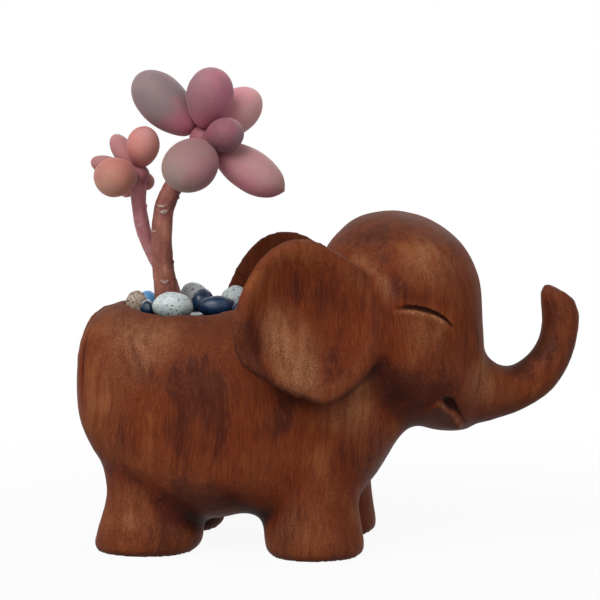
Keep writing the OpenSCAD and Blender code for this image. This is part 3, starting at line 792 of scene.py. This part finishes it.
def succulent_bark(name, props, blotch, pink, pale):
    """The smooth woody skin of an old succulent stem: pinkish brown with darker blotches, fine
    wrinkles across it and dry grey scars where leaves have dropped."""
    material, tree = new_material(name)
    place = add(tree, COORDS, out="Object")
    scar, crown = [add(tree, ATTRIBUTE, out="Fac", attribute_name=name) for name in ("scar", "crown")]
    # The scars' torn fibres are hair-thin; they are drawn as bits of 0.5 mm.
    blotches, wrinkles, fibres, bits = [
        add(tree, NOISE, {"Vector": add(tree, MAPPING, {"Vector": place, "Scale": per_cell(*cells)}),
                          "Scale": 1.0, "Detail": detail, "Roughness": rough})
        for cells, detail, rough in (((4, 4, 9), 3.0, 0.6), ((4, 4, 0.7), 2.0, 0.6),
                                     ((0.9, 0.9, 10), 2.0, 0.6), ((0.6, 0.6, 0.4), 1.0, 0.5))]
    colour = add(tree, RAMP, {"Fac": blotches}, stops=[(0.30, blotch), (0.50, pink), (0.68, pale)])
    torn, pitted = [add(tree, MATH, {0: scar, 1: layer}, operation="MULTIPLY") for layer in (wrinkles, bits)]
    dark, dry, pit = [
        add(tree, RANGE, {"Value": value, "From Min": low, "From Max": high, "To Max": most})
        for value, low, high, most in ((fibres, 0.60, 0.76, 0.30), (torn, 0.16, 0.40, 0.85),
                                       (pitted, 0.40, 0.50, 0.85))]
    for share, over in ((dark, blotch), (crown, props.crown_colour), (dry, props.scar_colour),
                        (pit, "#3b2a26")):
        colour = add(tree, MIX, {SHARE: share, UNDER: colour, OVER: over}, MIXED, data_type="RGBA")
    relief = add(tree, MATH, {0: fibres, 1: 0.8, 2: wrinkles}, operation="MULTIPLY_ADD")
    bump = add(tree, BUMP, {"Height": relief, "Strength": 0.5, "Distance": 0.25 * MM})
    shader = add(tree, "ShaderNodeBsdfPrincipled", {
        "Base Color": colour, "Normal": bump, "Roughness": 0.55, "Specular IOR Level": 0.25,
        "Subsurface Weight": 0.12, "Subsurface Radius": (4, 1.5, 1), "Subsurface Scale": MM})
    add(tree, "ShaderNodeOutputMaterial", {"Surface": shader}, None)
    return material


class StemProps(bpy.types.PropertyGroup):
    main_colour: colour_setting("Main stem", "Colour of the main stem", "#824e40")
    side_colour: colour_setting("Side stem", "Colour of the side stem", "#bb7c7e")
    crown_colour: colour_setting("Crown", "Colour of the crown that carries the leaves", "#8f565e")
    scar_colour: colour_setting("Scars", "Colour of the dry leaf scars", "#b3a397")


# Leaf scars of a stem: height over the soil, turn round the stem (degrees), size (mm)
SCARS = {
    "main_stem": [(13, -80, 1.3), (20, 20, 1.5), (24, 190, 1.5), (31, -130, 1.2), (38, -84, 1.9),
                  (40, -100, 1.6), (43, 10, 1.5), (46, 130, 1.5), (50, -160, 1.3)],
    "side_stem": [(12, 180, 1.1), (19, -60, 1.0), (27, 150, 1.1), (33, -100, 1.0), (40, 20, 1.1)],
}


class PLANTER_OT_stems(bpy.types.Operator):
    """Grows the two stems with their leaf scars and wrinkles"""
    bl_idname = "planter.stems"
    bl_label = "Stems"

    def execute(self, context):
        props = context.scene.planter_stems
        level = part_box("soil")[1].z
        for node, blotch, pink, pale, hub, reach in (
                ("main_stem", "#693930", props.main_colour, "#9c6450", MAIN_HUB, 9 * MM),
                ("side_stem", "#a56668", props.side_colour, "#cb908e", SIDE_HUB, 6 * MM)):
            bm = recast(node, STEM_CELL)
            soften(bm, 12)
            points = places(bm)
            out = normals(bm)
            scar = np.zeros(len(points))
            ragged = wobble(points, 0.9 * MM, 0.5 * MM, 12)
            lift = wobble(points, 5 * MM, 0.28 * MM, 5) + wobble(points, 2 * MM, 0.10 * MM, 6)
            for height, turn, size in SCARS[node]:
                ring = np.abs(points[:, 2] - level - height * MM) < 3 * MM
                middle = points[ring].mean(axis=0)
                facing = np.array([math.cos(math.radians(turn)), math.sin(math.radians(turn)), 0])
                offset = points - middle
                wide = offset @ np.cross(facing, (0, 0, 1))
                up = offset[:, 2] - 0.35 * wide ** 2 / (size * MM) + ragged
                spot = bell(wide, size * 1.3 * MM) * (offset @ facing > 0) * (out @ facing > 0)
                lip = bell(up - 0.2 * MM, 0.45 * MM) * spot
                lift += lip * 0.38 * MM - bell(up - 1.1 * MM, 0.4 * MM) * spot * 0.18 * MM
                scar = np.maximum(scar, lip)
            above = step(points[:, 2], level - 1 * MM, level + 1 * MM)
            crown = 1 - step(np.linalg.norm(points - np.array(hub), axis=1), reach / 2, reach)
            lift += crown * 0.6 * MM
            crown = np.maximum(crown, 0.3 * step(points[:, 2], level + 15 * MM, hub.z))
            move(bm, points + out * (lift * above)[:, None])
            skin = succulent_bark(node + "_skin", props, blotch, pink, pale)
            piece = finish_piece(node + "_bark", bm, skin, PLANTING, [node],
                                 {"scar": scar, "crown": crown})
            if not piece.data.polygons:
                raise RuntimeError(f"{node} has no faces")
        return {"FINISHED"}


# Leaves

def farina_leaf(name, props, body, base, tip):
    """A fat succulent leaf under farina, its own powdery wax: dull and velvety, pinker at the foot, greyer
    in the middle, with light that soaks into the flesh, and flushed pink on one side, partly its own pink
    and partly a painted glow of light through the leaf."""
    material, tree = new_material(name)
    place = add(tree, COORDS, out="Object")
    along, blush = [add(tree, ATTRIBUTE, out="Fac", attribute_name=name) for name in ("along", "blush")]
    # The wax grains are too fine to see; they are drawn at 0.6 mm, so that the bloom shows.
    clouds, powder = [
        add(tree, NOISE, {"Vector": add(tree, MAPPING, {"Vector": place, "Scale": per_cell(*[cell] * 3)}),
                          "Scale": 1.0, "Detail": 2.0, "Roughness": rough})
        for cell, rough in ((8, 0.5), (0.6, 0.6))]
    ripe = add(tree, MATH, {0: clouds, 1: 0.45, 2: along}, operation="MULTIPLY_ADD")
    ripe = add(tree, RANGE, {"Value": ripe, "From Max": 1.3})
    colour = add(tree, RAMP, {"Fac": ripe}, stops=[(0.24, base), (0.48, body), (0.72, body), (0.94, tip)])
    # Flush towards the foot's pink on one side: partly the leaf's own pink, partly a painted glow of light
    # through its edge.
    flush = add(tree, MATH, {0: clouds, 1: blush}, operation="MULTIPLY")
    flush = add(tree, RANGE, {"Value": flush, "From Min": 0.12, "From Max": 0.55, "To Max": 0.75})
    bloom = add(tree, RANGE, {"Value": powder, "From Min": 0.45, "From Max": 0.75, "To Max": 0.16})
    for share, over in ((flush, base), (bloom, props.powder_colour)):
        colour = add(tree, MIX, {SHARE: share, UNDER: colour, OVER: over}, MIXED, data_type="RGBA")
    bump = add(tree, BUMP, {"Height": powder, "Strength": 0.15, "Distance": 0.1 * MM})
    shader = add(tree, "ShaderNodeBsdfPrincipled", {
        "Base Color": colour, "Normal": bump, "Roughness": 0.60, "Specular IOR Level": 0.2,
        "Subsurface Weight": 0.45, "Subsurface Radius": (6, 3, 2.5), "Subsurface Scale": MM,
        "Sheen Weight": 0.12, "Sheen Roughness": 0.4, "Sheen Tint": "#f0d2d2"})
    add(tree, "ShaderNodeOutputMaterial", {"Surface": shader}, None)
    return material


class LeafProps(bpy.types.PropertyGroup):
    foot_share: bpy.props.FloatProperty(
        name="Foot", description="Half thickness at the crown, as a share of the leaf's widest",
        default=0.26, min=0.1, max=0.5)
    fullness: bpy.props.FloatProperty(
        name="Fullness", description="Less makes the lower half of a leaf plumper",
        default=0.66, min=0.5, max=1.5)
    powder_colour: colour_setting("Farina", "Colour of the powdery wax", "#b79d9c")


# Each leaf: its colours in the middle, at the foot and at the tip, its sharp tip (mm), and how
# high and how broad its section is, as shares of a round one
LEAVES = {
    "main_leaf_left": ("#7b686a", "#a05a6b", "#857274", 0.2, 1.0, 1.0),
    "main_leaf_top": ("#835d65", "#a65a70", "#976d75", 0.2, 1.0, 1.0),
    "main_leaf_back": ("#bd8b8b", "#c47589", "#c49795", 0.2, 1.0, 1.0),
    "main_leaf_small": ("#725158", "#864556", "#826068", 0.3, 1.0, 1.0),
    "main_leaf_right": ("#a97c7e", "#b8667a", "#9c7672", 1.2, 1.0, 1.0),
    "main_leaf_front": ("#846a65", "#95616a", "#8c7670", 0.2, 0.94, 1.05),
    "side_leaf_top": ("#b77c70", "#b5696a", "#b38380", 0.3, 1.0, 1.0),
    "side_leaf_high": ("#a56f6e", "#9d5d60", "#a87f7c", 0.2, 1.0, 1.0),
    "side_leaf_left": ("#a07471", "#975b5f", "#a5807c", 0.2, 1.0, 1.0),
    "side_leaf_front": ("#a97160", "#a86560", "#a77c6b", 0.1, 1.0, 1.0),
    "side_leaf_low": ("#b98074", "#ac685f", "#b98f84", 0.2, 1.0, 1.0),
    "side_leaf_right": ("#bf8578", "#b56a63", "#c19a8e", 0.2, 1.0, 1.0),
}
LEAF_ROWS = 26
LEAF_SIDES = 32
# How far along a leaf it is widest
WIDEST = 0.55


def leaf_shape(node, hub, sharp, section, seed, props):
    """A plump leaf spun round its heading from the crown, then pressed and bent a little; gives the mesh,
    the place along the leaf of each vertex and how far its pink flush, partly a painted glow, reaches."""
    points = cad_points(node)
    heading = Vector(points.mean(axis=0)) - hub
    heading.normalize()
    reach = (points - np.array(hub)) @ np.array(heading)
    near, length = reach.min(), np.ptp(reach)
    half = max((Vector(p) - hub).cross(heading).length for p in points)

    bm = bmesh.new()
    rows = []
    for i in range(LEAF_ROWS + 1):
        t = i / LEAF_ROWS - 0.2 / math.tau * math.sin(math.tau * i / LEAF_ROWS)
        if t < WIDEST:
            swell = math.sin(math.pi / 2 * t / WIDEST) ** props.fullness
            r = props.foot_share + (1 - props.foot_share) * swell
        else:
            r = math.sqrt(max(0.0, 1 - ((t - WIDEST) / (1 - WIDEST)) ** 2))
        rows.append(bm.verts.new((half * r if i < LEAF_ROWS else 0.0, 0, length * t)))
    foot = bm.verts.new((0, 0, -0.8 * MM))
    for a, b in zip([foot] + rows, rows):
        bm.edges.new((a, b))
    bmesh.ops.spin(bm, geom=bm.verts[:] + bm.edges[:], cent=(0, 0, 0), axis=(0, 0, 1),
                   dvec=(0, 0, 0), angle=math.tau, steps=LEAF_SIDES, use_merge=True,
                   use_duplicate=False)
    bmesh.ops.remove_doubles(bm, verts=bm.verts, dist=0.005 * MM)
    bmesh.ops.recalc_face_normals(bm, faces=bm.faces)
    in_fixed_order(bm)

    along, blush = [], []
    for vert in bm.verts:
        t = max(0.0, vert.co.z / length)
        turn = math.atan2(vert.co.y, vert.co.x)
        along.append(t)
        # Pinker on one side of the section: partly the leaf's own pink, partly a painted glow
        blush.append(0.5 + 0.5 * math.cos(turn - seed * 1.9))
        # Flatter on the side that faces the crown's own axis, and a short point at the tip
        if vert.co.x > 0:
            vert.co.x *= 0.92
        radial = math.hypot(vert.co.x, vert.co.y)
        vert.co.x *= section[0]
        vert.co.y *= section[1]
        if t > WIDEST:
            vert.co.z += sharp * MM * math.exp(-(radial / (1.4 * MM)) ** 2) * 0.8
        vert.co.x += noise.noise(Vector((seed, 0, t * 2.0))) * 0.35 * MM * t
        vert.co += vert.normal * noise.noise(vert.co / (9 * MM) + Vector((seed * 3.7, 0, 0))) * 0.22 * MM
    quat = heading.to_track_quat("Z", "X")
    bmesh.ops.transform(bm, verts=bm.verts, matrix=Matrix.Translation(hub + heading * near)
                        @ quat.to_matrix().to_4x4())
    return bm, {"along": along, "blush": blush}


class PLANTER_OT_leaves(bpy.types.Operator):
    """Grows the fat powdery leaves of both crowns"""
    bl_idname = "planter.leaves"
    bl_label = "Leaves"

    def execute(self, context):
        props = context.scene.planter_leaves
        for seed, (node, (body, base, tip, sharp, *section)) in enumerate(LEAVES.items()):
            main = node.startswith("main")
            hub = MAIN_HUB if main else SIDE_HUB
            bm, values = leaf_shape(node, hub, sharp, section, seed + 1, props)
            skin = farina_leaf(node + "_skin", props, body, base, tip)
            piece = finish_piece(node + "_flesh", bm, skin, PLANTING,
                                 [node], values)
            rounder = piece.modifiers.new("rounder", "SUBSURF")
            rounder.levels = rounder.render_levels = 1
        return {"FINISHED"}


# Pebbles

def speckled_stone(name, ground, dark, pale, fleck_mm, share, gloss):
    """A tumbled granite or dyed gravel pebble: fine crystals of two or three colours, smooth and a little
    shiny, with one roughness all over."""
    material, tree = new_material(name)
    place = add(tree, COORDS, out="Object")
    flecks, crystals, clouds = [
        add(tree, NOISE, {"Vector": add(tree, MAPPING, {
            "Vector": place, "Rotation": turn, "Scale": per_cell(*[cell] * 3)}),
            "Scale": 1.0, "Detail": detail, "Roughness": rough})
        for turn, cell, detail, rough in (((0, 0, 0), fleck_mm, 3.0, 0.65),
                                          ((0.4, 0.7, 1.1), 0.6, 2.0, 0.5), ((0, 0, 0), 4.5, 2.0, 0.5))]
    colour = add(tree, RAMP, {"Fac": clouds}, stops=[(0.30, ground), (0.72, pale)])
    for value, low, high, most, over in ((crystals, 0.53, 0.66, 0.55, pale),
                                         (flecks, 1 - share, 1.05 - share, 0.9, dark)):
        spot = add(tree, RANGE, {"Value": value, "From Min": low, "From Max": high, "To Max": most})
        colour = add(tree, MIX, {SHARE: spot, UNDER: colour, OVER: over}, MIXED, data_type="RGBA")
    bump = add(tree, BUMP, {"Height": crystals, "Strength": 0.25, "Distance": 0.12 * MM})
    shader = add(tree, "ShaderNodeBsdfPrincipled", {
        "Base Color": colour, "Normal": bump, "Roughness": gloss, "IOR": 1.52, "Specular IOR Level": 0.35})
    add(tree, "ShaderNodeOutputMaterial", {"Surface": shader}, None)
    return material


# Finish of each kind of pebble: ground, dark fleck, pale crystal, fleck size (mm), share of
# flecks, roughness
STONES = {
    "white": ("#a6b1b2", "#1f2427", "#c6cfcd", 0.9, 0.425, 0.50),
    "brown": ("#765c48", "#331f17", "#b9aa9c", 1.0, 0.47, 0.55),
    "sky": ("#3f7fb5", "#2a6499", "#5d97c4", 2.4, 0.36, 0.35),
    "navy": ("#08172c", "#040c1a", "#143353", 3.2, 0.42, 0.34),
    "grey": ("#96a0a0", "#16191b", "#c0c8c5", 1.5, 0.47, 0.50),
}
# Pebbles that are trodden into the soil, and what share of their height still stands up
TRODDEN = {"pebble_white_near": 0.4, "pebble_grey_near": 0.35}


class PebbleProps(bpy.types.PropertyGroup):
    lumpiness: length_setting("Lumpiness", "How far a pebble strays from an even oval", 0.45, 1)
    roundness: bpy.props.IntProperty(
        name="Roundness", description="Divisions of each pebble", default=4, min=2, max=5)


class PLANTER_OT_pebbles(bpy.types.Operator):
    """Strews the pebbles over the soil"""
    bl_idname = "planter.pebbles"
    bl_label = "Pebbles"

    def execute(self, context):
        props = context.scene.planter_pebbles
        skins = {}
        for seed, node in enumerate(sorted(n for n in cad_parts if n.startswith("pebble_"))):
            kind = node.split("_")[1]
            if kind not in skins:
                skins[kind] = speckled_stone(kind + "_pebble_skin", *STONES[kind])
            low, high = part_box(node)
            middle = (low + high) / 2
            flat = cad_points(node)[:, :2] - np.array(middle)[:2]
            axes = np.linalg.eigh(flat.T @ flat)[1]
            turn = math.atan2(axes[1, 1], axes[0, 1])
            half_l = np.abs(flat @ axes[:, 1]).max()
            half_w = np.abs(flat @ axes[:, 0]).max()
            half_h = (high.z - low.z) / 2 * TRODDEN.get(node, 1)
            bm = bmesh.new()
            bmesh.ops.create_icosphere(bm, subdivisions=props.roundness, radius=1.0)
            for vert in bm.verts:
                # A shade boxier than an oval, and heavier at one end
                p = vert.co.copy()
                egg = 1 + 0.10 * math.sin(seed * 2.1) * p.x
                lump = (noise.noise(p * 1.3 + Vector((seed * 5.1, 0, 0))) * 0.75
                        + noise.noise(p * 3.0 + Vector((0, seed * 3.3, 0))) * 0.2)
                size = 1 + (lump * props.lumpiness) / half_w
                vert.co = Vector((p.x, p.y * egg, p.z * egg)) * min(size, 1.03)
            bmesh.ops.transform(bm, verts=bm.verts, matrix=Matrix.Translation(middle)
                                @ Matrix.Rotation(turn, 4, "Z")
                                @ Matrix.Diagonal((half_l, half_w, half_h, 1)))
            bmesh.ops.recalc_face_normals(bm, faces=bm.faces)
            # Each pebble rests on the soil.
            sink = min(v.co.z for v in bm.verts) - low.z
            bmesh.ops.translate(bm, verts=bm.verts, vec=(0, 0, -sink))
            finish_piece(node + "_stone", bm, skins[kind], PLANTING, [node])
        return {"FINISHED"}


# Stage

AIM = Vector((-8.49, 7.29, 86.9)) * MM
CAMERA_DISTANCE = 670 * MM
CAMERA_TURN = 8
CAMERA_RISE = 4.17
# Focal length and sensor width (mm)
LENS, SENSOR = 112.3, 36.0
FLOOR_RADIUS = 6.0
# What the lights look at
LIT = Vector((0, 0, 60)) * MM


def seen_plainly(tree):
    """1 for what the camera, gloss and glass look at, and 0 for what lights the scene."""
    path = add(tree, LIGHT_PATH, out=None).outputs
    seen = add(tree, MATH, {0: path["Is Glossy Ray"], 1: path["Is Transmission Ray"]}, operation="MAXIMUM")
    return add(tree, MATH, {0: path["Is Camera Ray"], 1: seen}, operation="MAXIMUM")


def pale_floor():
    """A matt white sweep that keeps the shadow near the object and fades to plain white."""
    material, tree = new_material("pale_floor")
    far = add(tree, VECTOR_MATH, {0: add(tree, COORDS, out="Object")}, "Value", operation="LENGTH")
    fade = add(tree, RANGE, {"Value": far, "From Min": 0.10, "From Max": 0.30, "To Min": 0.93})
    share = add(tree, MATH, {0: seen_plainly(tree), 1: fade}, operation="MULTIPLY")
    matt = add(tree, "ShaderNodeBsdfPrincipled", {
        "Base Color": "#d2d2d2", "Roughness": 0.9, "Specular IOR Level": 0.1})
    white = add(tree, "ShaderNodeEmission", {"Color": "#ffffff", "Strength": 1.0})
    mixed = add(tree, "ShaderNodeMixShader", {0: share, 1: matt, 2: white})
    add(tree, "ShaderNodeOutputMaterial", {"Surface": mixed}, None)
    return material


def studio_world(strength):
    """Even light all round, which the camera, gloss and glass see as plain white."""
    world = bpy.data.worlds.new("studio")
    world.use_nodes = True
    tree = world.node_tree
    tree.nodes.clear()
    dim, white = [add(tree, "ShaderNodeBackground", {"Color": "#ffffff", "Strength": power})
                  for power in (strength, 1.0)]
    mixed = add(tree, "ShaderNodeMixShader", {0: seen_plainly(tree), 1: dim, 2: white})
    add(tree, "ShaderNodeOutputWorld", {"Surface": mixed}, None)
    return world


def aimed(name, data, target, turn, rise, distance):
    """A lamp or camera that looks at the target from that turn and rise (degrees)."""
    made = bpy.data.objects.new(name, data)
    a, e = math.radians(turn), math.radians(rise)
    back = Vector((math.sin(a) * math.cos(e), -math.cos(a) * math.cos(e), math.sin(e)))
    made.location = target + back * distance
    made.rotation_mode = "QUATERNION"
    made.rotation_quaternion = (-back).to_track_quat("-Z", "Y")
    bpy.context.scene.collection.objects.link(made)
    return made


class StageProps(bpy.types.PropertyGroup):
    key: bpy.props.FloatProperty(name="Key light", description="Power of the large soft box",
                                 default=6.0, min=0.0, max=100.0, unit="POWER")
    fill: bpy.props.FloatProperty(name="Fill light", description="Power of the fill light",
                                  default=1.3, min=0.0, max=100.0, unit="POWER")
    sky: bpy.props.FloatProperty(name="Sky", description="Strength of the even light all round",
                                 default=0.34, min=0.0, max=2.0)


class PLANTER_OT_stage(bpy.types.Operator):
    """Sets the floor, the lights and the camera"""
    bl_idname = "planter.stage"
    bl_label = "Stage"

    def execute(self, context):
        props = context.scene.planter_stage
        scene = context.scene
        bm = bmesh.new()
        bmesh.ops.create_circle(bm, cap_ends=True, cap_tris=False, segments=96, radius=FLOOR_RADIUS)
        floor = new_object("floor", bm, pale_floor())

        scene.world = studio_world(props.sky)
        for name, power, size, turn, rise, distance in (
                ("key", props.key, 0.55, -24, 44, 0.85),
                ("fill", props.fill, 0.60, 44, 20, 0.95),
                ("back", props.fill, 0.50, 165, 40, 0.95)):
            light = bpy.data.lights.new(name, "AREA")
            light.shape = "DISK"
            light.size = size
            light.energy = power
            aimed(name, light, LIT, turn, rise, distance)

        lens = bpy.data.cameras.new("camera")
        lens.lens = LENS
        lens.sensor_width = SENSOR
        lens.clip_start = 0.02
        lens.clip_end = 30.0
        scene.camera = aimed("camera", lens, AIM, CAMERA_TURN, CAMERA_RISE, CAMERA_DISTANCE)
        scene.view_settings.view_transform = "Standard"
        return {"FINISHED"}


# Panel and run

class VIEW3D_PT_planter(bpy.types.Panel):
    """Lists the planter's sizes, colours and steps"""
    bl_label = "Elephant Planter"
    bl_idname = "VIEW3D_PT_planter"
    bl_space_type = "VIEW_3D"
    bl_region_type = "UI"
    bl_category = "Planter"

    def draw(self, context):
        for attribute, group in GROUPS.items():
            box = self.layout.box()
            box.label(text=attribute.replace("planter_", "").capitalize())
            for name in group.__annotations__:
                box.prop(getattr(context.scene, attribute), name)
        for step_class in STEPS:
            self.layout.operator(step_class.bl_idname)


GROUPS = {
    "planter_figure": FigureProps,
    "planter_soil": SoilProps,
    "planter_stems": StemProps,
    "planter_leaves": LeafProps,
    "planter_pebbles": PebbleProps,
    "planter_stage": StageProps,
}
STEPS = (PLANTER_OT_figure, PLANTER_OT_soil, PLANTER_OT_stems, PLANTER_OT_leaves,
         PLANTER_OT_pebbles, PLANTER_OT_stage)


def register():
    for part in (*GROUPS.values(), *STEPS, VIEW3D_PT_planter):
        bpy.utils.register_class(part)
    for attribute, group in GROUPS.items():
        setattr(bpy.types.Scene, attribute, bpy.props.PointerProperty(type=group))


def unregister():
    for attribute in GROUPS:
        delattr(bpy.types.Scene, attribute)
    for part in reversed((*GROUPS.values(), *STEPS, VIEW3D_PT_planter)):
        bpy.utils.unregister_class(part)


def main():
    register()
    for part in STEPS:
        group, name = part.bl_idname.split(".")
        getattr(getattr(bpy.ops, group), name)()
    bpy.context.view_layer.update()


if __name__ == "__main__":
    main()
